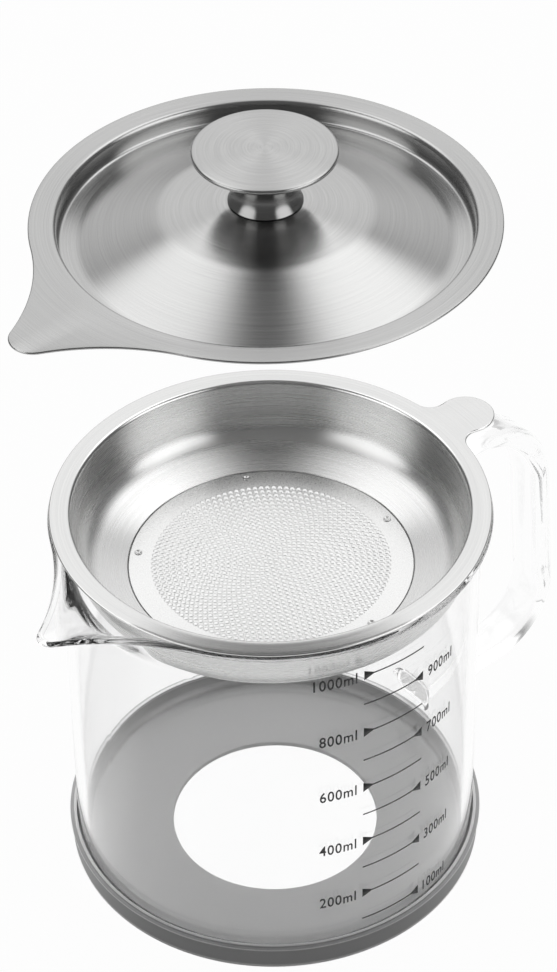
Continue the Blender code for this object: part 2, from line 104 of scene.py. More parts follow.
def rounded(corners, steps=BEND_STEPS):
    """An open path through (across, up, bend) corners, with its inner corners rounded off by arcs."""
    path = [Vector(corners[0][:2])]
    for before, corner, after in zip(corners, corners[1:], corners[2:]):
        spot = Vector(corner[:2])
        back, on = Vector(before[:2]) - spot, Vector(after[:2]) - spot
        half = back.angle(on) / 2
        if corner[2] == 0 or half > STRAIGHT_ENOUGH:
            path.append(spot)
            continue
        back_room = back.length * (ROOM_SHARED if before[2] else ROOM_ALONE)
        on_room = on.length * (ROOM_SHARED if after[2] else ROOM_ALONE)
        reach = min(corner[2] / math.tan(half), back_room, on_room)
        middle = (back.normalized() + on.normalized()).normalized()
        centre = spot + middle * (reach / math.cos(half))
        start, end = spot + back.normalized() * reach - centre, spot + on.normalized() * reach - centre
        swing = start.angle_signed(end)
        path += [centre + Matrix.Rotation(-swing * n / steps, 2) @ start for n in range(steps + 1)]
    return path + [Vector(corners[-1][:2])]


def round_outline(steps=TURN_STEPS):
    """A plain circle, as the angle of each point and how far it is pushed outwards."""
    return [(2 * math.pi * n / steps, Vector((0, 0))) for n in range(steps)]


def ring(outline, radius, height, share=1):
    """A ring of points round the jug's axis, with its outline pushed out by a share."""
    spots = []
    for a, push in outline:
        across, along = radius * math.cos(a) + share * push.x, radius * math.sin(a) + share * push.y
        spots.append(Vector((axis_x + across, along, height)))
    return spots


def skin(name, rings, closed=False):
    """A surface over rings of points, where a ring of one point is a pole.

    The map "Turning" runs once round the axis, so that a brushed finish can follow it.
    """
    made = bmesh.new()
    turning = made.loops.layers.uv.new("Turning")
    rows = [[made.verts.new(spot) for spot in spots] for spots in rings]
    steps = max(len(row) for row in rows)
    pairs = list(zip(rows, rows[1:]))
    if closed:
        pairs.append((rows[-1], rows[0]))
    for level, (low, high) in enumerate(pairs):
        for n in range(steps):
            corners = {}
            for row, column, up in ((low, n, 0), (low, n + 1, 0), (high, n + 1, 1), (high, n, 1)):
                corners.setdefault(row[column % len(row)], (column / steps, level + up))
            face = made.faces.new(list(corners))
            for loop in face.loops:
                loop[turning].uv = corners[loop.vert]
    bmesh.ops.recalc_face_normals(made, faces=made.faces)
    mesh = bpy.data.meshes.new(name)
    made.to_mesh(mesh)
    made.free()
    return mesh


def place(mesh, material, body, slot, *nodes):
    """Puts a piece in the scene. It rides on a CAD body and stands for the CAD nodes named."""
    mesh.materials.append(material)
    mesh.shade_smooth()
    mesh.set_sharp_from_angle(angle=SHARP_ANGLE)
    piece = bpy.data.objects.new(mesh.name, mesh)
    bpy.context.scene.collection.objects.link(piece)
    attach(piece, body)
    if nodes:
        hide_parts(*nodes)
    return piece


def linear(colour):
    """The linear colour of an sRGB hex value."""
    parts = [int(colour[n : n + 2], 16) / 255 for n in (1, 3, 5)]
    return (*[p / 12.92 if p <= 0.04045 else ((p + 0.055) / 1.055) ** 2.4 for p in parts], 1)


def add(tree, kind, inputs=None, **settings):
    """Adds a node with its settings. An input is a value, or the socket that it is linked from."""
    made = tree.nodes.new(kind)
    for name, value in settings.items():
        setattr(made, name, value)
    for name, value in (inputs or {}).items():
        if isinstance(value, bpy.types.NodeSocket):
            tree.links.new(value, made.inputs[name])
        else:
            made.inputs[name].default_value = value
    return made


def start_material(name, **constants):
    """A new material and its shader, with constants set on the shader's own sockets."""
    made = bpy.data.materials.new(name)
    made.use_nodes = True
    shader = made.node_tree.nodes["Principled BSDF"]
    for socket, value in constants.items():
        shader.inputs[socket.replace("_", " ")].default_value = value
    return made, made.node_tree, shader


def place_in(tree):
    """Where a point lies in the frame, in metres."""
    return add(tree, "ShaderNodeTexCoord").outputs["Object"]


def noise(tree, size, detail):
    """Cloudy noise from 0 to 1, with clouds of a size in metres."""
    inputs = {"Vector": place_in(tree), "Scale": 1 / size, "Detail": detail}
    return add(tree, "ShaderNodeTexNoise", inputs).outputs["Fac"]


def sums(tree, first, operation, second, third=0.0):
    """One step of arithmetic between values or sockets."""
    return add(tree, "ShaderNodeMath", {0: first, 1: second, 2: third}, operation=operation).outputs[0]


def spread(tree, value, low, high, start=0.0, end=1.0, **settings):
    """Runs from low to high while the value runs from start to end."""
    inputs = {"Value": value, "From Min": start, "From Max": end, "To Min": low, "To Max": high}
    return add(tree, "ShaderNodeMapRange", inputs, **settings).outputs["Result"]


def blend(tree, share, *colours):
    """Goes from the first colour to the second by a share. A colour is a hex value or a socket."""
    first, second = [linear(one) if isinstance(one, str) else one for one in colours]
    return add(tree, "ShaderNodeMix", {0: share, 6: first, 7: second}, data_type="RGBA").outputs[2]


def relief(tree, height, depth):
    """Normals that follow a relief of a depth in metres."""
    inputs = {"Height": height, "Distance": depth, "Strength": 1.0}
    return add(tree, "ShaderNodeBump", inputs).outputs["Normal"]


def finish(tree, shader, **sockets):
    """Links sockets to the shader's inputs."""
    for name, socket in sockets.items():
        tree.links.new(socket, shader.inputs[name.replace("_", " ")])


def moulded_silicone():
    """Silicone rubber, moulded: a soft satin grey with a faint mottle and a very fine matt grain, with
    painted light on its floor and painted highlights along the lip's edges.
    """
    made, tree, shader = start_material("moulded_silicone", IOR=SILICONE_IOR)
    mottle = noise(tree, MOULD_MOTTLE, FINE_DETAIL)
    grain = noise(tree, MOULD_GRAIN, PLAIN_DETAIL)
    height = add(tree, "ShaderNodeSeparateXYZ", {0: place_in(tree)}).outputs["Z"]
    # Painted light: low down, the grey turns paler, standing in for the brighter light on the floor inside
    # the jug.
    painted_light_share = spread(tree, height, 1.0, 0.0, *SILICONE_FLOOR_PAINTED_LIGHT_HEIGHT)
    tone = blend(tree, painted_light_share, blend(tree, mottle, SILICONE_DARK, SILICONE_GREY), SILICONE_FLOOR_PAINTED_LIGHT)
    # Painted highlight: a thin pale line painted along each edge of the lip.
    for edge in (sleeve_high.z, sleeve_high.z - SLEEVE_STEP_DROP - SLEEVE_EDGE_BEND / 2):
        painted_highlight = sums(tree, height, "COMPARE", edge, EDGE_HIGHLIGHT_HALF)
        tone = blend(tree, painted_highlight, tone, SILICONE_EDGE_HIGHLIGHT)
    matt = spread(tree, mottle, *SILICONE_ROUGHNESS)
    bumps = relief(tree, grain, MOULD_GRAIN_HEIGHT)
    finish(tree, shader, Base_Color=tone, Roughness=matt, Normal=bumps)
    return made


def sleeve_mesh():
    """The sleeve's wall and floor, turned round the axis, with a soft edge everywhere."""
    lip = (sleeve_high.y - sleeve_low.y) / 2
    outer = lip - SLEEVE_LIP
    bore = outer - SLEEVE_WALL
    top, lip_z = sleeve_high.z, sleeve_high.z - SLEEVE_LIP_HEIGHT
    profile = rounded(
        [
            (SLEEVE_WINDOW_RADIUS, SLEEVE_FLOOR / 2, 0),
            (SLEEVE_WINDOW_RADIUS, 0, SLEEVE_EDGE_BEND),
            (outer, 0, SLEEVE_FOOT_BEND),
            (outer, lip_z, SLEEVE_LIP),
            (lip, lip_z + SLEEVE_LIP, SLEEVE_LIP),
            (lip, top - SLEEVE_STEP_DROP, SLEEVE_EDGE_BEND),
            (bore + SLEEVE_STEP_WIDTH, top - SLEEVE_STEP_DROP, SLEEVE_STEP_BEND),
            (bore + SLEEVE_STEP_WIDTH, top, SLEEVE_STEP_BEND),
            (bore, top, SLEEVE_STEP_BEND),
            (bore, SLEEVE_FLOOR, SLEEVE_HEEL_BEND),
            (SLEEVE_WINDOW_RADIUS, SLEEVE_FLOOR, SLEEVE_EDGE_BEND),
        ]
        + [(SLEEVE_WINDOW_RADIUS, SLEEVE_FLOOR / 2, 0)]
    )[:-1]
    return skin("silicone_sleeve", [ring(round_outline(), *spot) for spot in profile], closed=True)


place(sleeve_mesh(), moulded_silicone(), "sleeve", "silicone", "silicone_base")

# Glass jug and handle
# The jug is blown borosilicate glass with a flared, fire-polished rim and a spout pulled out of it. The
# handle is a pressed glass bar, bent into a loop and fused to the wall at both ends, so both are one piece.
JUG_RADIUS = 57.7 * MM
GLASS_WALL = 2.2 * MM
GLASS_FLOOR = 2.6 * MM
HEEL_BEND = 6 * MM
RIM_FLARE = 2.9 * MM
RIM_FLARE_HEIGHT = 4 * MM
RIM_FLARE_RISE = 4  # how late the rim turns out
SPOUT_LENGTH = 19.2 * MM
SPOUT_TIP_RADIUS = 4 * MM
SPOUT_FLANK_RADIUS = 70 * MM
SPOUT_DEPTH = 12.5 * MM
SPOUT_RISE = 1.6  # how late the spout swings out as it rises
WALL_STEPS = 28
LOBE_STEPS = 26
TIP_STEPS = 12

HANDLE_WIDTH = 13 * MM
HANDLE_THICKNESS = 6.8 * MM
HANDLE_EDGE_BEND = 2.9 * MM
HANDLE_REACH = 41.6 * MM  # from the wall to the middle of the grip, at the top
HANDLE_LEAN = 6.8 * MM
HANDLE_TOP_BEND = 29 * MM
HANDLE_FOOT_BEND = 18 * MM
HANDLE_FILLET = 3 * MM  # where the hot handle was pressed on the wall
HANDLE_BEND_STEPS = 24

GLASS_TINT = "#fefefe"
GLASS_IOR = 1.473
BLOWN_WAVE = 34 * MM  # slow waves that blowing leaves in the wall
BLOWN_WAVE_HEIGHT = 0.02 * MM
WAVE_DETAIL = 1.0

jug_low, jug_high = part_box("glass_jug")
handle_low, handle_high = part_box("glass_handle")


def lobed_outline(radius, length, tip_radius, flank_radius, turn):
    """A circle with one lobe: a round tip, joined to the circle by two hollow flanks that touch both."""
    tip = radius + length - tip_radius
    far, near = radius + flank_radius, tip_radius + flank_radius
    hub_x = (far**2 - near**2 + tip**2) / (2 * tip)
    hub = Vector((hub_x, math.sqrt(max(far**2 - hub_x**2, 0))))
    root = math.atan2(hub.y, hub.x)
    flank_from = math.atan2(-hub.y, -hub.x)
    flank_to = math.atan2(-hub.y, tip - hub.x)
    tip_half = math.atan2(hub.y, hub.x - tip)
    half = []
    for n in range(LOBE_STEPS):
        a = flank_from + (flank_to - flank_from) * n / LOBE_STEPS
        half.append(hub + Vector((math.cos(a), math.sin(a))) * flank_radius)
    for n in range(TIP_STEPS):
        a = tip_half * (1 - n / TIP_STEPS)
        half.append(Vector((tip + tip_radius * math.cos(a), tip_radius * math.sin(a))))
    mirrored = [Vector((spot.x, -spot.y)) for spot in half]
    lobe = mirrored + [Vector((tip + tip_radius, 0))] + half[::-1]
    runs = [0]
    for before, spot in zip(lobe, lobe[1:]):
        runs.append(runs[-1] + (spot - before).length)
    outline = []
    for spot, run in zip(lobe, runs):
        a = root * (2 * run / runs[-1] - 1)
        push = spot - Vector((math.cos(a), math.sin(a))) * radius
        outline.append((turn + a, Matrix.Rotation(turn, 2) @ push))
    step = (2 * math.pi - 2 * root) / TURN_STEPS
    return outline + [(turn + root + step * n, Vector((0, 0))) for n in range(1, TURN_STEPS)]


def jug_mesh():
    """The jug's outer skin from the middle of its foot to the rim, over the bead and down the bore."""
    rim = JUG_RADIUS + RIM_FLARE
    bore = JUG_RADIUS - GLASS_WALL
    outer = lobed_outline(rim, SPOUT_LENGTH, SPOUT_TIP_RADIUS, SPOUT_FLANK_RADIUS, math.pi)
    inner = lobed_outline(
        rim - GLASS_WALL,
        SPOUT_LENGTH,
        SPOUT_TIP_RADIUS - GLASS_WALL / 2,
        SPOUT_FLANK_RADIUS + GLASS_WALL,
        math.pi,
    )
    foot, bead = jug_low.z, GLASS_WALL / 2
    lip = jug_high.z - bead
    inside = foot + GLASS_FLOOR

    def spout_share(height):
        return max(1 - (lip - height) / SPOUT_DEPTH, 0) ** SPOUT_RISE

    def flare(height):
        return RIM_FLARE * max(1 - (lip - height) / RIM_FLARE_HEIGHT, 0) ** RIM_FLARE_RISE

    heights = [lip - SPOUT_DEPTH * (1 - n / WALL_STEPS) for n in range(WALL_STEPS + 1)]
    heel = rounded([(0, foot, 0), (JUG_RADIUS, foot, HEEL_BEND), (JUG_RADIUS, lip, 0)])[1:-1]
    rings = [[Vector((axis_x, 0, foot))]]
    rings += [ring(outer, *spot, 0) for spot in heel]
    rings += [ring(outer, JUG_RADIUS + flare(z), z, spout_share(z)) for z in heights]
    outer_lip, inner_lip = rings[-1], ring(inner, rim - GLASS_WALL, lip)
    for n in range(1, BEND_STEPS):
        a = math.pi * n / BEND_STEPS
        share, rise = (1 - math.cos(a)) / 2, Vector((0, 0, bead * math.sin(a)))
        rings.append([one.lerp(other, share) + rise for one, other in zip(outer_lip, inner_lip)])
    rings += [ring(inner, bore + flare(z), z, spout_share(z)) for z in reversed(heights)]
    heel = rounded([(bore, lip, 0), (bore, inside, HEEL_BEND - GLASS_WALL), (0, inside, 0)])[1:-1]
    rings += [ring(inner, *spot, 0) for spot in heel]
    rings.append([Vector((axis_x, 0, inside))])
    return skin("glass_jug_and_handle", rings)


def handle_mesh():
    """The handle's bar along its loop. Each end widens into a fillet and stops inside the jug's wall."""
    foot_z = handle_low.z + HANDLE_THICKNESS / 2
    top_z = handle_high.z - HANDLE_THICKNESS / 2
    grip = JUG_RADIUS + HANDLE_REACH
    straight = JUG_RADIUS + HANDLE_FILLET
    loop = rounded(
        [
            (straight, foot_z, 0),
            (grip + HANDLE_LEAN, foot_z, HANDLE_FOOT_BEND),
            (grip, top_z, HANDLE_TOP_BEND),
            (straight, top_z, 0),
        ],
        HANDLE_BEND_STEPS,
    )
    half_w, half_t = HANDLE_WIDTH / 2 - HANDLE_EDGE_BEND, HANDLE_THICKNESS / 2 - HANDLE_EDGE_BEND
    section = []
    for quarter, (side_w, side_t) in enumerate(((1, 1), (-1, 1), (-1, -1), (1, -1))):
        for step in range(BEND_STEPS + 1):
            a = math.radians(90) * (quarter + step / BEND_STEPS)
            bend = Vector((math.cos(a), math.sin(a)))
            section.append((Vector((side_w * half_w, side_t * half_t)) + bend * HANDLE_EDGE_BEND, bend))

    def root_rings(height, up):
        rings = []
        for n in range(BEND_STEPS + 2):
            out = HANDLE_FILLET * (n - 1) / BEND_STEPS
            widen = HANDLE_FILLET * (1 - math.sqrt(1 - (1 - max(out, 0) / HANDLE_FILLET) ** 2))
            spots = []
            for spot, bend in section:
                wide = spot + bend * widen
                wall = math.sqrt(JUG_RADIUS**2 - wide.x**2)
                reach = wall + (out if out > 0 else -GLASS_WALL / 2)
                spots.append(Vector((axis_x + reach, wide.x, height + up * wide.y)))
            rings.append(spots)
        return rings

    rings = root_rings(foot_z, -1)[:-1]
    for n, spot in enumerate(loop):
        along = (loop[min(n + 1, len(loop) - 1)] - loop[max(n - 1, 0)]).normalized()
        out = Vector((along.y, -along.x))
        rings.append([
            Vector((axis_x + spot.x + out.x * at.y, at.x, spot.y + out.y * at.y)) for at, _ in section
        ])
    rings += [[Vector((s.x, s.y, s.z)) for s in spots] for spots in reversed(root_rings(top_z, 1)[:-1])]
    mesh = skin("handle", rings)
    made = bmesh.new()
    made.from_mesh(mesh)
    bmesh.ops.holes_fill(made, edges=made.edges)
    bmesh.ops.recalc_face_normals(made, faces=made.faces)
    made.to_mesh(mesh)
    made.free()
    return mesh


def fused(first, second):
    """One mesh of two that overlap, with the walls between them taken out."""
    scene = bpy.context.scene.collection.objects
    base = bpy.data.objects.new(first.name, first)
    added = bpy.data.objects.new(second.name, second)
    scene.link(base)
    scene.link(added)
    join = base.modifiers.new("fuse", "BOOLEAN")
    join.operation, join.solver, join.object = "UNION", "EXACT", added
    mesh = bpy.data.meshes.new_from_object(base.evaluated_get(bpy.context.evaluated_depsgraph_get()))
    bpy.data.objects.remove(base)
    bpy.data.objects.remove(added)
    name = first.name
    bpy.data.meshes.remove(first)
    bpy.data.meshes.remove(second)
    mesh.name = name
    return mesh


def blown_glass():
    """Borosilicate glass, blown and fire-polished: clear and smooth, with slow waves in its surface."""
    made, tree, shader = start_material(
        "blown_borosilicate_glass",
        IOR=GLASS_IOR,
        Roughness=0.0,
        Transmission_Weight=1.0,
        Base_Color=linear(GLASS_TINT),
    )
    waves = noise(tree, BLOWN_WAVE, WAVE_DETAIL)
    finish(tree, shader, Normal=relief(tree, waves, BLOWN_WAVE_HEIGHT))
    return made


place(fused(jug_mesh(), handle_mesh()), blown_glass(), "jug", "glass", "glass_jug", "glass_handle")

# Printed scale
# Ten lines and their numbers for every 100 ml, screen-printed on the wall in dark ceramic ink and fired on.
# Even hundreds are labelled on the left, at a wedge on the line's left end, and odd ones on the right.
SCALE_LEFT = math.radians(-106.3)
SCALE_RIGHT = math.radians(-86.9)
SCALE_FIRST_Z = 11.1 * MM
SCALE_STEP = 10.32 * MM
SCALE_MARKS = 10
LINE_WIDTH = 0.45 * MM
LINE_STEPS = 24
WEDGE_LENGTH = 3.4 * MM
WEDGE_HEIGHT = 3.3 * MM
LABEL_HEIGHT = 3.8 * MM
LABEL_NARROW = 0.76
LABEL_BOLD = 0.012
LABEL_GAP = 2.0 * MM
LABEL_SPACING = 1.12
LABEL_CURVE_STEPS = 6
INK_LIFT = 0.02 * MM
INK_THICKNESS = 0.03 * MM

INK_GREY = "#161617"
INK_WORN = "#262627"
INK_ROUGHNESS = 0.5
INK_MOTTLE = 0.7 * MM


def label_mesh(words, height):
    """Flat letters of a plain typeface, with their lower left corner at the origin."""
    letters = bpy.data.curves.new(words, "FONT")
    letters.body = words
    letters.space_character = LABEL_SPACING
    letters.offset = LABEL_BOLD
    letters.resolution_u = LABEL_CURVE_STEPS
    holder = bpy.data.objects.new(words, letters)
    bpy.context.scene.collection.objects.link(holder)
    mesh = bpy.data.meshes.new_from_object(holder.evaluated_get(bpy.context.evaluated_depsgraph_get()))
    bpy.data.objects.remove(holder)
    spots = [v.co for v in mesh.vertices]
    left, base = min(s.x for s in spots), min(s.y for s in spots)
    size = height / (max(s.y for s in spots) - base)
    narrow = Matrix.Diagonal((size * LABEL_NARROW, size, size, 1))
    mesh.transform(narrow @ Matrix.Translation((-left, -base, 0)))
    return mesh


def printed_scale_mesh():
    """The whole print, laid out flat as run along the wall and height, then wrapped on the jug."""
    made = bmesh.new()
    run = JUG_RADIUS * (SCALE_RIGHT - SCALE_LEFT)
    for mark in range(1, SCALE_MARKS + 1):
        z = SCALE_FIRST_Z + SCALE_STEP * (mark - 1)
        steps = [run * n / LINE_STEPS for n in range(LINE_STEPS + 1)]
        low = [made.verts.new((x, z - LINE_WIDTH / 2, 0)) for x in steps]
        high = [made.verts.new((x, z + LINE_WIDTH / 2, 0)) for x in steps]
        for n in range(LINE_STEPS):
            made.faces.new((low[n], low[n + 1], high[n + 1], high[n]))
        on_left = mark % 2 == 0
        end, inwards = (0, 1) if on_left else (run, -1)
        half, point = WEDGE_HEIGHT / 2, end + inwards * WEDGE_LENGTH
        wedge = [(end, z + half), (end, z - half), (point, z)]
        made.faces.new([made.verts.new((x, y, 0)) for x, y in wedge])
        label = label_mesh(f"{mark}00ml", LABEL_HEIGHT)
        width = max(v.co.x for v in label.vertices)
        start = -LABEL_GAP - width if on_left else run + LABEL_GAP
        label.transform(Matrix.Translation((start, z - LABEL_HEIGHT / 2, 0)))
        made.from_mesh(label)
        bpy.data.meshes.remove(label)
    surface = JUG_RADIUS + INK_LIFT
    for vert in made.verts:
        a = SCALE_LEFT + vert.co.x / JUG_RADIUS
        vert.co = (axis_x + surface * math.cos(a), surface * math.sin(a), jug_low.z + vert.co.y)
    mesh = bpy.data.meshes.new("printed_scale")
    made.to_mesh(mesh)
    made.free()
    return mesh


def fired_ink():
    """Ceramic ink, screen-printed and fired: a flat dark grey, a little thin and uneven in places."""
    made, tree, shader = start_material("fired_ceramic_ink", Roughness=INK_ROUGHNESS)
    finish(tree, shader, Base_Color=blend(tree, noise(tree, INK_MOTTLE, PLAIN_DETAIL), INK_GREY, INK_WORN))
    return made


printed_scale = place(printed_scale_mesh(), fired_ink(), "jug", "glass")
ink_body = printed_scale.modifiers.new("ink thickness", "SOLIDIFY")
ink_body.thickness = INK_THICKNESS
ink_body.offset = 1

# Strainer bowl
# A bowl pressed from stainless sheet, with a flat flange that hangs on the jug's rim, a thumb tab towards
# the handle, and a recessed ledge for the filter disc. It is brushed all over while it turns on a lathe.
SHEET = 0.7 * MM
FLANGE_RADIUS = JUG_RADIUS + RIM_FLARE - 0.4 * MM
THROAT_RADIUS = 54.3 * MM
STRAINER_DRAFT = 1.2 * MM
STRAINER_WALL_DEPTH = 17 * MM
STRAINER_DEPTH = 20.5 * MM
STRAINER_MOUTH_BEND = 1.2 * MM
STRAINER_SHOULDER_BEND = 8 * MM
RECESS_DEPTH = 0.8 * MM
RECESS_BEND = 0.3 * MM
RECESS_RADIUS = 39.5 * MM
LEDGE_WIDTH = 4.4 * MM
TAB_LENGTH = 15.2 * MM
TAB_TIP_RADIUS = 8 * MM
TAB_FLANK_RADIUS = 5 * MM
TAB_TURN = math.radians(-6)
FLANGE_STEPS = 6
MITRE_LIMIT = 0.5  # keeps the sheet's underside from running away at a tight bend

STRAINER_TONE = ("#c9c9c9", "#e2e2e1")
STRAINER_ROUGHNESS = (0.23, 0.32)
BRUSH_WIDTH = 0.35 * MM  # the real scratches are a tenth of this, drawn coarser to show
BRUSH_DEPTH = 0.003 * MM
BRUSH_TURNS = 0.9  # how many streaks follow each other in a radian of the turn
BRUSH_GRAIN = 0.96  # anisotropy of the brushed surface
BRUSH_ACROSS = 0.25  # a quarter turn, so that lights are drawn out across the scratches
STREAK_DETAIL = 4.0
STREAK_BREAKUP = 0.6
STREAK_SPAN = (0.25, 0.75)
FLANGE_FINENESS = 0.45

strainer_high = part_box("strainer_bowl")[1]


def flange_rings(outline, inner, outer, top, sheet):
    """Rings of a flat flange: out along the top, over its rounded edge and back along the underside."""
    edge = sheet / 2

    def rim(inset, height):
        spots = ring(outline, outer, height)
        moved = []
        for n, spot in enumerate(spots):
            along = (spots[(n + 1) % len(spots)] - spots[n - 1]).normalized()
            moved.append(spot - Vector((along.y, -along.x, 0)) * inset)
        return moved

    def face(height, shares):
        near, far = ring(outline, inner, height, 0), rim(edge, height)
        return [[a.lerp(b, share) for a, b in zip(near, far)] for share in shares]

    shares = [n / FLANGE_STEPS for n in range(1, FLANGE_STEPS + 1)]
    rings = face(top, shares)
    for n in range(1, BEND_STEPS):
        a = math.pi * n / BEND_STEPS
        rings.append(rim(edge * (1 - math.sin(a)), top - edge * (1 - math.cos(a))))
    return rings + face(top - sheet, shares[::-1])


def pressed_shell(name, outline, corners, top, sheet):
    """A shell of sheet metal. Its corners run from the middle outwards, and the last one is its flange."""
    path = rounded(corners)
    inner, outer = path[-2].x, path[-1].x
    under = []
    for n, spot in enumerate(path[:-1]):
        after = (path[n + 1] - spot).normalized()
        before = (spot - path[n - 1]).normalized() if n else after
        along = (before + after).normalized()
        under.append(spot + Vector((along.y, -along.x)) * sheet / max(along.dot(after), MITRE_LIMIT))
    rings = [ring(outline, spot.x, top + spot.y, 0) for spot in path[:-1]]
    rings += flange_rings(outline, inner, outer, top, sheet)
    rings += [ring(outline, spot.x, top + spot.y, 0) for spot in reversed(under)]
    return skin(name, rings, closed=True)


def brushed_steel(name, tones, roughness, flange=None):
    """Stainless steel, brushed on a lathe: fine rings round the axis that fan the light out into wedges.

    A flange at the given height is brushed more finely, so that it keeps one even tone all round.
    """
    made, tree, shader = start_material(
        name, Metallic=1.0, Anisotropic=BRUSH_GRAIN, Anisotropic_Rotation=BRUSH_ACROSS
    )
    ends = {0: place_in(tree), 1: (axis_x, 0, 0)}
    from_axis = add(tree, "ShaderNodeVectorMath", ends, operation="SUBTRACT").outputs[0]
    parts = add(tree, "ShaderNodeSeparateXYZ", {0: from_axis}).outputs
    flat = add(tree, "ShaderNodeCombineXYZ", {"X": parts["X"], "Y": parts["Y"]}).outputs[0]
    reach = add(tree, "ShaderNodeVectorMath", {0: flat}, operation="LENGTH").outputs["Value"]
    way = add(tree, "ShaderNodeVectorMath", {0: flat}, operation="NORMALIZE").outputs[0]
    turn = add(tree, "ShaderNodeSeparateXYZ", {0: way}).outputs
    rings_of = {
        "X": sums(tree, sums(tree, reach, "SUBTRACT", parts["Z"]), "MULTIPLY", 1 / BRUSH_WIDTH),
        "Y": sums(tree, turn["X"], "MULTIPLY", BRUSH_TURNS),
        "Z": sums(tree, turn["Y"], "MULTIPLY", BRUSH_TURNS),
    }
    streaks = add(
        tree,
        "ShaderNodeTexNoise",
        {"Vector": add(tree, "ShaderNodeCombineXYZ", rings_of).outputs[0], "Scale": 1.0}
        | {"Detail": STREAK_DETAIL, "Roughness": STREAK_BREAKUP},
    ).outputs["Fac"]
    rough = spread(tree, streaks, *roughness, *STREAK_SPAN)
    if flange is not None:
        fine = spread(tree, parts["Z"], 1.0, FLANGE_FINENESS, flange - STRAINER_MOUTH_BEND, flange)
        rough = sums(tree, rough, "MULTIPLY", fine)
    grain = add(tree, "ShaderNodeTangent", direction_type="UV_MAP", uv_map="Turning").outputs["Tangent"]
    tone, bumps = blend(tree, streaks, *tones), relief(tree, streaks, BRUSH_DEPTH)
    finish(tree, shader, Base_Color=tone, Roughness=rough, Normal=bumps, Tangent=grain)
    return made


def strainer_mesh():
    """The strainer's bowl, from the ledge under the filter disc out to the flange."""
    ledge = -STRAINER_DEPTH - RECESS_DEPTH
    outline = lobed_outline(FLANGE_RADIUS, TAB_LENGTH, TAB_TIP_RADIUS, TAB_FLANK_RADIUS, TAB_TURN)
    corners = [
        (RECESS_RADIUS - LEDGE_WIDTH, ledge, 0),
        (RECESS_RADIUS, ledge, RECESS_BEND),
        (RECESS_RADIUS, -STRAINER_DEPTH, RECESS_BEND),
        (THROAT_RADIUS - STRAINER_DRAFT, -STRAINER_WALL_DEPTH, STRAINER_SHOULDER_BEND),
        (THROAT_RADIUS, 0, STRAINER_MOUTH_BEND),
        (FLANGE_RADIUS, 0, 0),
    ]
    return pressed_shell("brushed_strainer", outline, corners, strainer_high.z, SHEET)


strainer_steel = brushed_steel(
    "lathe_brushed_stainless_steel", STRAINER_TONE, STRAINER_ROUGHNESS, strainer_high.z
)
place(strainer_mesh(), strainer_steel, "strainer", "brushed_steel", "strainer_bowl")

# Filter disc
# A thin stainless disc, punched with well over a thousand holes in rings, six more in each ring than in the
# one inside it. It lies in the bowl's recess, and five weld spots round its edge hold it there.
DISC_RADIUS = 39.2 * MM
DISC_SHEET = 0.12 * MM
HOLE_RING_STEP = 1.7 * MM
HOLE_RADIUS = 0.6 * MM
COLLAR_RADIUS = 0.82 * MM
COLLAR_RISE = 0.1 * MM
COLLAR_SHARP_ANGLE = math.radians(12)
HOLE_ZONE_RADIUS = 34 * MM
HOLES_MORE = 6  # in each ring than in the one inside it
HOLE_SIDES = 10
WELD_RADIUS = 0.9 * MM
WELD_FROM_EDGE = 2.2 * MM
WELD_TURN = math.radians(59.5)
WELD_COUNT = 5
WELD_RIM = 0.18 * MM
WELD_DIMPLE = 0.22 * MM
WELD_STEPS = 24
WELD_BEND_STEPS = 3
DISC_STEPS = 180
CUT_INSIDE = 1  # keeps the triangles inside the outlines only
CUT_CLOSENESS = 1e-4 * MM

DISC_TONE = ("#e2e2e2", "#ececeb")
DISC_ROUGHNESS = (0.24, 0.32)
DISC_GRAIN = 0.4 * MM  # the real rolled grain is a tenth of this, drawn coarser to show

disc_low, disc_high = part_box("filter_disc")


def circle_points(centre, radius, steps):
    """Points round a flat circle."""
    turns = [2 * math.pi * n / steps for n in range(steps)]
    return [centre + Vector((math.cos(a), math.sin(a))) * radius for a in turns]


def weld_places():
    """The middles of the weld spots, from the jug's axis."""
    reach = DISC_RADIUS - WELD_FROM_EDGE
    turns = [WELD_TURN + 2 * math.pi * n / WELD_COUNT for n in range(WELD_COUNT)]
    return [Vector((reach * math.cos(a), reach * math.sin(a))) for a in turns]


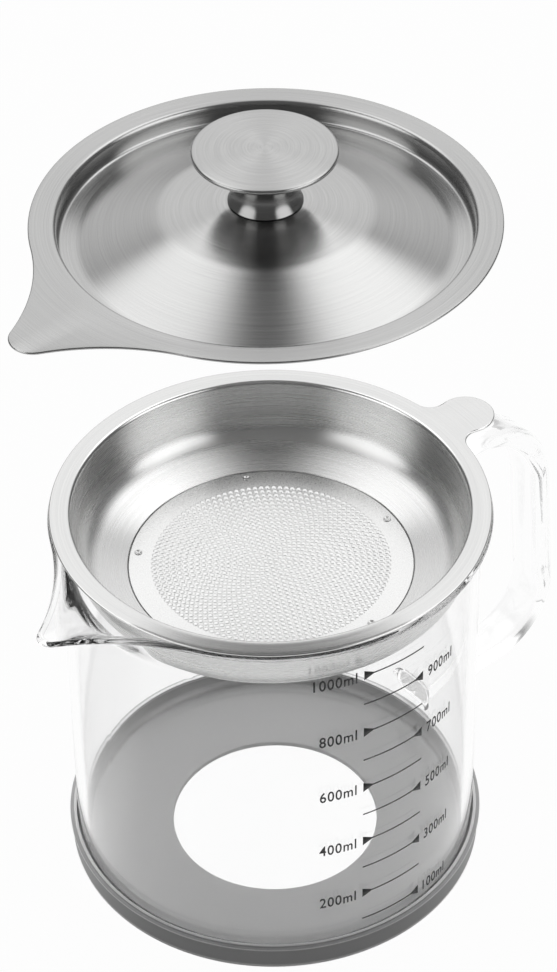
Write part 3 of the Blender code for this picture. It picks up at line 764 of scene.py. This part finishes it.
def filter_disc_mesh():
    """The disc with every hole cut through. Each hole has a low collar, raised where the punch came out."""
    centres = [Vector((0, 0))]
    for row in range(1, int(HOLE_ZONE_RADIUS / HOLE_RING_STEP)):
        centres += circle_points(Vector((0, 0)), row * HOLE_RING_STEP, HOLES_MORE * row)
    edge = circle_points(Vector((0, 0)), DISC_RADIUS, DISC_STEPS)
    collars = [circle_points(spot, COLLAR_RADIUS, HOLE_SIDES) for spot in centres]
    welds = [circle_points(spot, WELD_RADIUS, 2 * HOLE_SIDES) for spot in weld_places()]
    points, loops = [], []
    for loop in [edge] + collars + welds:
        loops.append(list(range(len(points), len(points) + len(loop))))
        points += loop
    spots, _, triangles, _, _, owners = delaunay_2d_cdt(points, [], loops, CUT_INSIDE, CUT_CLOSENESS)
    plate = [triangle for triangle, owner in zip(triangles, owners) if owner == [0]]
    used = {n for triangle in plate for n in triangle}
    top, base = disc_high.z - COLLAR_RISE, disc_high.z - COLLAR_RISE - DISC_SHEET
    made = bmesh.new()
    level = {}
    for height in (top, base):
        level[height] = {n: made.verts.new((axis_x + spots[n].x, spots[n].y, height)) for n in used}
        for triangle in plate:
            made.faces.new([level[height][n] for n in triangle])

    def band(upper, lower):
        for n in range(len(upper)):
            made.faces.new((upper[n - 1], upper[n], lower[n], lower[n - 1]))

    for loop in [loops[0]] + loops[-len(welds):]:
        band([level[top][n] for n in loop], [level[base][n] for n in loop])
    for spot, loop in zip(centres, loops[1:]):
        hole = circle_points(spot, HOLE_RADIUS, HOLE_SIDES)
        rim, mouth = [
            [made.verts.new((axis_x + at.x, at.y, z)) for at in hole] for z in (disc_high.z, base)
        ]
        band([level[top][n] for n in loop], rim)
        band(rim, mouth)
        band(mouth, [level[base][n] for n in loop])
    bmesh.ops.recalc_face_normals(made, faces=made.faces)
    mesh = bpy.data.meshes.new("perforated_filter_disc")
    made.to_mesh(mesh)
    made.free()
    return mesh


def weld_mesh(name, centre):
    """A weld spot: a nugget with a low raised rim round a round dimple."""
    rim, low, high = WELD_RADIUS + WELD_RIM, disc_low.z, disc_high.z
    profile = rounded(
        [
            (0, high - WELD_DIMPLE / 2, 0),
            (WELD_RADIUS / 2, high - WELD_DIMPLE / 2, WELD_RIM),
            (WELD_RADIUS, high + WELD_RIM / 2, WELD_RIM / 2),
            (rim, high + WELD_RIM / 2, WELD_RIM / 2),
            (rim, high, 0),
            (WELD_RADIUS, high, 0),
            (WELD_RADIUS, low, 0),
            (0, low, 0),
        ],
        WELD_BEND_STEPS,
    )
    outline = round_outline(WELD_STEPS)
    rings = []
    for spot in profile:
        spots = ring(outline, spot.x, spot.y) if spot.x else [Vector((axis_x, 0, spot.y))]
        rings.append([at + Vector((centre.x, centre.y, 0)) for at in spots])
    return skin(name, rings)


def rolled_steel():
    """Stainless sheet, as rolled: an even satin with a fine matt grain and no direction."""
    made, tree, shader = start_material("matt_rolled_stainless_steel", Metallic=1.0)
    grain = noise(tree, DISC_GRAIN, FINE_DETAIL)
    matt, bumps = spread(tree, grain, *DISC_ROUGHNESS), relief(tree, grain, BRUSH_DEPTH)
    finish(tree, shader, Base_Color=blend(tree, grain, *DISC_TONE), Roughness=matt, Normal=bumps)
    return made


disc_steel = rolled_steel()
disc = place(filter_disc_mesh(), disc_steel, "strainer", "brushed_steel", "filter_disc")
disc.data.set_sharp_from_angle(angle=COLLAR_SHARP_ANGLE)
for number, spot in enumerate(weld_places(), 1):
    weld = weld_mesh(f"weld_mark_{number}", spot)
    place(weld, strainer_steel, "strainer", "brushed_steel", f"spot_weld_{number}")

# Lid
# A lid pressed from the same sheet: a plug drops into the strainer's mouth, a low dome carries the knob,
# and one side of the flange is drawn out into a rounded lobe that covers the spout. Brushed on a lathe.
PLUG_RADIUS = 53.1 * MM
PLUG_DEPTH = 5.4 * MM
PLUG_MOUTH_BEND = 1.3 * MM
PLUG_FOOT_BEND = 1.2 * MM
LOBE_LENGTH = 20.6 * MM
LOBE_TIP_RADIUS = 6.5 * MM
LOBE_FLANK_RADIUS = 60 * MM
DOME_FOOT_RADIUS = 49 * MM
DOME_SHOULDER_RADIUS = 27 * MM
DOME_SHOULDER_RISE = 8 * MM
DOME_SEAT_RADIUS = 11.5 * MM
DOME_RISE = 10.9 * MM
DOME_BEND = 22 * MM
SCREW_BORE = 2.3 * MM

LID_TONE = ("#a2a2a2", "#c2c2c1")
LID_ROUGHNESS = (0.17, 0.23)

lid_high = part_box("lid_shell")[1]


def lid_mesh(top):
    """The lid's shell, from the bore for the knob's screw out to the flange. top is its flange's height."""
    floor = -PLUG_DEPTH
    outline = lobed_outline(FLANGE_RADIUS, LOBE_LENGTH, LOBE_TIP_RADIUS, LOBE_FLANK_RADIUS, math.pi)
    corners = [
        (SCREW_BORE, floor + DOME_RISE, 0),
        (DOME_SEAT_RADIUS, floor + DOME_RISE, DOME_BEND),
        (DOME_SHOULDER_RADIUS, floor + DOME_SHOULDER_RISE, DOME_BEND),
        (DOME_FOOT_RADIUS, floor, DOME_BEND),
        (PLUG_RADIUS, floor, PLUG_FOOT_BEND),
        (PLUG_RADIUS, 0, PLUG_MOUTH_BEND),
        (FLANGE_RADIUS, 0, 0),
    ]
    return pressed_shell("brushed_lid", outline, corners, top, SHEET)


knob_seat = lid_high.z  # the dome's top is the highest point of the lid's shell
lid_top = knob_seat - DOME_RISE + PLUG_DEPTH
lid_steel = brushed_steel("lathe_brushed_lid_steel", LID_TONE, LID_ROUGHNESS)
place(lid_mesh(lid_top), lid_steel, "lid", "brushed_steel", "lid_shell")

# Knob
# A round, slightly crowned plate welded on a hollow flared neck, both turned and brushed stainless steel.
# A zinc-plated screw and washer under the lid pull the neck's threaded insert down on the dome.
KNOB_RADIUS = 18.6 * MM
KNOB_PLATE = 1.3 * MM
KNOB_CROWN = 0.7 * MM
NECK_FOOT_RADIUS = 9.6 * MM
NECK_WAIST_RADIUS = 7.4 * MM
NECK_HEAD_RADIUS = 14.2 * MM
NECK_FOOT_HEIGHT = 2.6 * MM
NECK_HEAD_HEIGHT = 6.2 * MM
NECK_BEND = 6 * MM
CROWN_STEPS = 12

# Painted shade: the neck is the lid's steel, painted darker for the shade under the plate and the dark
# studio that it mirrors.
NECK_PAINTED_SHADE_TONE = ("#8f8f8f", "#a6a6a5")
ZINC_TONE = ("#a9adb2", "#bfc3c7")
ZINC_ROUGHNESS = (0.28, 0.42)
ZINC_SPANGLE = 1.2 * MM

knob_low, knob_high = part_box("knob_top")
neck_low, neck_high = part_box("knob_neck")


def knob_plate_mesh():
    """The knob's plate: a low crown on top, a rounded edge and a flat underside."""
    edge = KNOB_PLATE / 2
    shares = [n / CROWN_STEPS for n in range(1, CROWN_STEPS + 1)]
    flat = KNOB_RADIUS - edge
    profile = [(flat * share, knob_high.z - KNOB_CROWN * share**2) for share in shares]
    for n in range(1, BEND_STEPS + 1):
        a = math.pi * n / BEND_STEPS
        profile.append((flat + edge * math.sin(a), knob_low.z + edge + edge * math.cos(a)))
    rings = [[Vector((axis_x, 0, knob_high.z))]]
    rings += [ring(round_outline(), *spot) for spot in profile]
    rings.append([Vector((axis_x, 0, knob_low.z))])
    return skin("knob_plate", rings)


def knob_neck_mesh():
    """The knob's neck: a thin wall that flares at its foot and widely under the plate."""
    outer = rounded(
        [
            (NECK_FOOT_RADIUS, neck_low.z, 0),
            (NECK_WAIST_RADIUS, neck_low.z + NECK_FOOT_HEIGHT, NECK_BEND),
            (NECK_WAIST_RADIUS, neck_high.z - NECK_HEAD_HEIGHT, NECK_BEND),
            (NECK_HEAD_RADIUS, neck_high.z, 0),
        ]
    )
    inner = [Vector((spot.x - SHEET, spot.y)) for spot in reversed(outer)]
    return skin("knob_flared_neck", [ring(round_outline(), *spot) for spot in outer + inner], closed=True)


def zinc_plate():
    """Steel, zinc plated: a cool, slightly milky metal with faint spangles."""
    made, tree, shader = start_material("zinc_plated_steel", Metallic=1.0)
    cells = {"Vector": place_in(tree), "Scale": 1 / ZINC_SPANGLE}
    spangle = add(tree, "ShaderNodeTexVoronoi", cells).outputs["Distance"]
    matt = spread(tree, spangle, *ZINC_ROUGHNESS)
    finish(tree, shader, Base_Color=blend(tree, spangle, *ZINC_TONE), Roughness=matt)
    return made


# The neck's steel is painted darker than the lid's: painted shade and painted dark reflection.
shaded_neck_steel = brushed_steel("shaded_turned_neck_steel", NECK_PAINTED_SHADE_TONE, LID_ROUGHNESS)
place(knob_plate_mesh(), lid_steel, "lid", "brushed_steel", "knob_top")
place(knob_neck_mesh(), shaded_neck_steel, "lid", "brushed_steel", "knob_neck")
zinc = zinc_plate()
for name in ("knob_insert", "knob_washer", "knob_screw"):
    for slot in frame["nodes"][name].material_slots:
        slot.material = zinc

# Studio
# A white floor that keeps a faint shadow, soft light from above, and the studio that metal and glass
# reflect: two broad soft boxes beside the camera, a pale wall opposite, and dark gaps between them.
FLOOR_SIZE = 6.0
FLOOR_TONE = ("#989898", "#9e9e9e")
FLOOR_MOTTLE = 1 / 3
FLOOR_ROUGHNESS = 0.9
FIRST_BOUNCE = 0.5  # between rays that haven't left a plain surface and those that have
FLOOR_WHITE_SHARE = 0.975  # how much of the white that the camera sees doesn't depend on the light
FLOOR_WHITE_REACH = (0.35, 1.0)  # glass and steel see the floor turn dark from here to here
FLOOR_FAR_SHARE = 0.35
CAMERA_TURN = math.radians(41.0)  # the camera stands this far round from the jug's side, towards the spout
SKY_LEVEL = 0.12
SKY_LIGHT = (180, 25, 20, 90, 2.9)  # the one broad light that falls on plain surfaces, as in SOFT_LIGHTS
STUDIO_LEVEL = 0.15
HORIZON_WHITE = (math.radians(12), math.radians(48))
SOFT_LIGHTS = (  # degrees to the camera's right, degrees up, inner and outer half angle, strength
    (61, 30, 14, 29, 1.85),
    (-61, 30, 14, 29, 1.7),
    (180, 34, 14, 38, 1.03),
    (132, 58, 6, 24, 1.8),
    (-132, 58, 6, 24, 1.6),
)


def flat_white_floor():
    """Painted board: plain white with a trace of unevenness, lit mostly by itself so that it stays white."""
    made, tree, shader = start_material("white_painted_board", Roughness=FLOOR_ROUGHNESS)
    finish(tree, shader, Base_Color=blend(tree, noise(tree, FLOOR_MOTTLE, PLAIN_DETAIL), *FLOOR_TONE))
    rays = add(tree, "ShaderNodeLightPath").outputs
    away = add(tree, "ShaderNodeVectorMath", {0: place_in(tree)}, operation="LENGTH").outputs["Value"]
    near = spread(tree, away, 1.0, FLOOR_FAR_SHARE, *FLOOR_WHITE_REACH, interpolation_type="SMOOTHSTEP")
    seen = rays["Is Camera Ray"]
    for other in ("Is Glossy Ray", "Is Transmission Ray"):
        seen = sums(tree, seen, "MAXIMUM", sums(tree, near, "MULTIPLY", rays[other]))
    first = sums(tree, rays["Diffuse Depth"], "LESS_THAN", FIRST_BOUNCE)
    share = sums(tree, sums(tree, seen, "MULTIPLY", first), "MULTIPLY", FLOOR_WHITE_SHARE)
    white = add(tree, "ShaderNodeEmission", {"Color": (1, 1, 1, 1), "Strength": 1.0}).outputs[0]
    mixed = add(tree, "ShaderNodeMixShader", {0: share, 1: shader.outputs[0], 2: white}).outputs[0]
    tree.links.new(mixed, tree.nodes["Material Output"].inputs["Surface"])
    return made


def floor():
    """The board that the part stands on."""
    made = bmesh.new()
    bmesh.ops.create_grid(made, x_segments=1, y_segments=1, size=FLOOR_SIZE / 2)
    mesh = bpy.data.meshes.new("studio_floor")
    made.to_mesh(mesh)
    made.free()
    mesh.materials.append(flat_white_floor())
    piece = bpy.data.objects.new("studio_floor", mesh)
    bpy.context.scene.collection.objects.link(piece)


def seen_from_camera(side, rise):
    """The way to a light that is side degrees to the camera's right and rise degrees above the floor."""
    a, up = math.radians(side) - CAMERA_TURN - math.pi / 2, math.radians(rise)
    return Vector((math.cos(a) * math.cos(up), math.sin(a) * math.cos(up), math.sin(up)))


def studio_world():
    """The studio that metal and glass mirror, a white horizon behind glass, and a plain sky for the rest."""
    world = bpy.data.worlds.new("soft_studio")
    world.use_nodes = True
    bpy.context.scene.world = world
    tree = world.node_tree
    background = tree.nodes["Background"]
    way = add(tree, "ShaderNodeTexCoord").outputs["Generated"]

    def glow(level, side, rise, inner, outer, strength):
        towards = add(
            tree, "ShaderNodeVectorMath", {0: way, 1: seen_from_camera(side, rise)}, operation="DOT_PRODUCT"
        ).outputs["Value"]
        edge, core = math.cos(math.radians(outer)), math.cos(math.radians(inner))
        lit = spread(tree, towards, 0.0, strength, edge, core, interpolation_type="SMOOTHERSTEP")
        return sums(tree, lit, "ADD", level)

    def choose(share, first, second):
        return add(tree, "ShaderNodeMix", {0: share, 2: first, 3: second}, data_type="FLOAT").outputs[0]

    light = STUDIO_LEVEL
    for soft in SOFT_LIGHTS:
        light = glow(light, *soft)
    rise_of = add(tree, "ShaderNodeSeparateXYZ", {0: way}).outputs["Z"]
    start, end = [math.sin(a) for a in HORIZON_WHITE]
    low = spread(tree, rise_of, 1.0, 0.0, start, end, interpolation_type="SMOOTHSTEP")
    rays = add(tree, "ShaderNodeLightPath").outputs
    through = sums(tree, rays["Is Transmission Ray"], "MULTIPLY", low)
    studio = choose(sums(tree, rays["Is Camera Ray"], "MAXIMUM", through), light, 1.0)
    left_plain = sums(tree, rays["Diffuse Depth"], "GREATER_THAN", FIRST_BOUNCE)
    level = choose(left_plain, studio, glow(SKY_LEVEL, *SKY_LIGHT))
    tree.links.new(level, background.inputs["Strength"])
    background.inputs["Color"].default_value = (1, 1, 1, 1)


floor()
studio_world()

# Camera
# A long lens, high on the spout's side, where the photograph was taken from.
CAMERA_LENS = 120.67  # mm
SENSOR_HEIGHT = 36  # mm
GLASS_BOUNCES = 64  # fewer leave black flecks in the rim and the handle
CAMERA_SIDE = 2.3 * MM
CAMERA_BACK = 677 * MM
CAMERA_UP = 690 * MM
CAMERA_PITCH = math.radians(39.73)
CAMERA_ROLL = math.radians(-0.77)

right = Vector((math.cos(CAMERA_TURN), -math.sin(CAMERA_TURN), 0))
ahead = Vector((math.sin(CAMERA_TURN), math.cos(CAMERA_TURN), 0))
stand = Vector((axis_x, 0, CAMERA_UP)) + right * CAMERA_SIDE - ahead * CAMERA_BACK
view = ahead * math.cos(CAMERA_PITCH) - Vector((0, 0, math.sin(CAMERA_PITCH)))
rolled = Matrix.Rotation(CAMERA_ROLL, 3, -view)
right, up = rolled @ right, rolled @ right.cross(view)
lens = bpy.data.cameras.new("camera")
lens.sensor_fit = "VERTICAL"
lens.sensor_height = SENSOR_HEIGHT
lens.lens = CAMERA_LENS
camera = bpy.data.objects.new("camera", lens)
bpy.context.scene.collection.objects.link(camera)
facing = Matrix((right, up, -view)).transposed().to_4x4()
camera.matrix_world = Matrix.Translation(stand) @ facing
bpy.context.scene.camera = camera
bpy.context.scene.view_settings.view_transform = "Standard"
bpy.context.scene.cycles.max_bounces = GLASS_BOUNCES
bpy.context.scene.cycles.transmission_bounces = GLASS_BOUNCES
bpy.context.scene.cycles.glossy_bounces = GLASS_BOUNCES
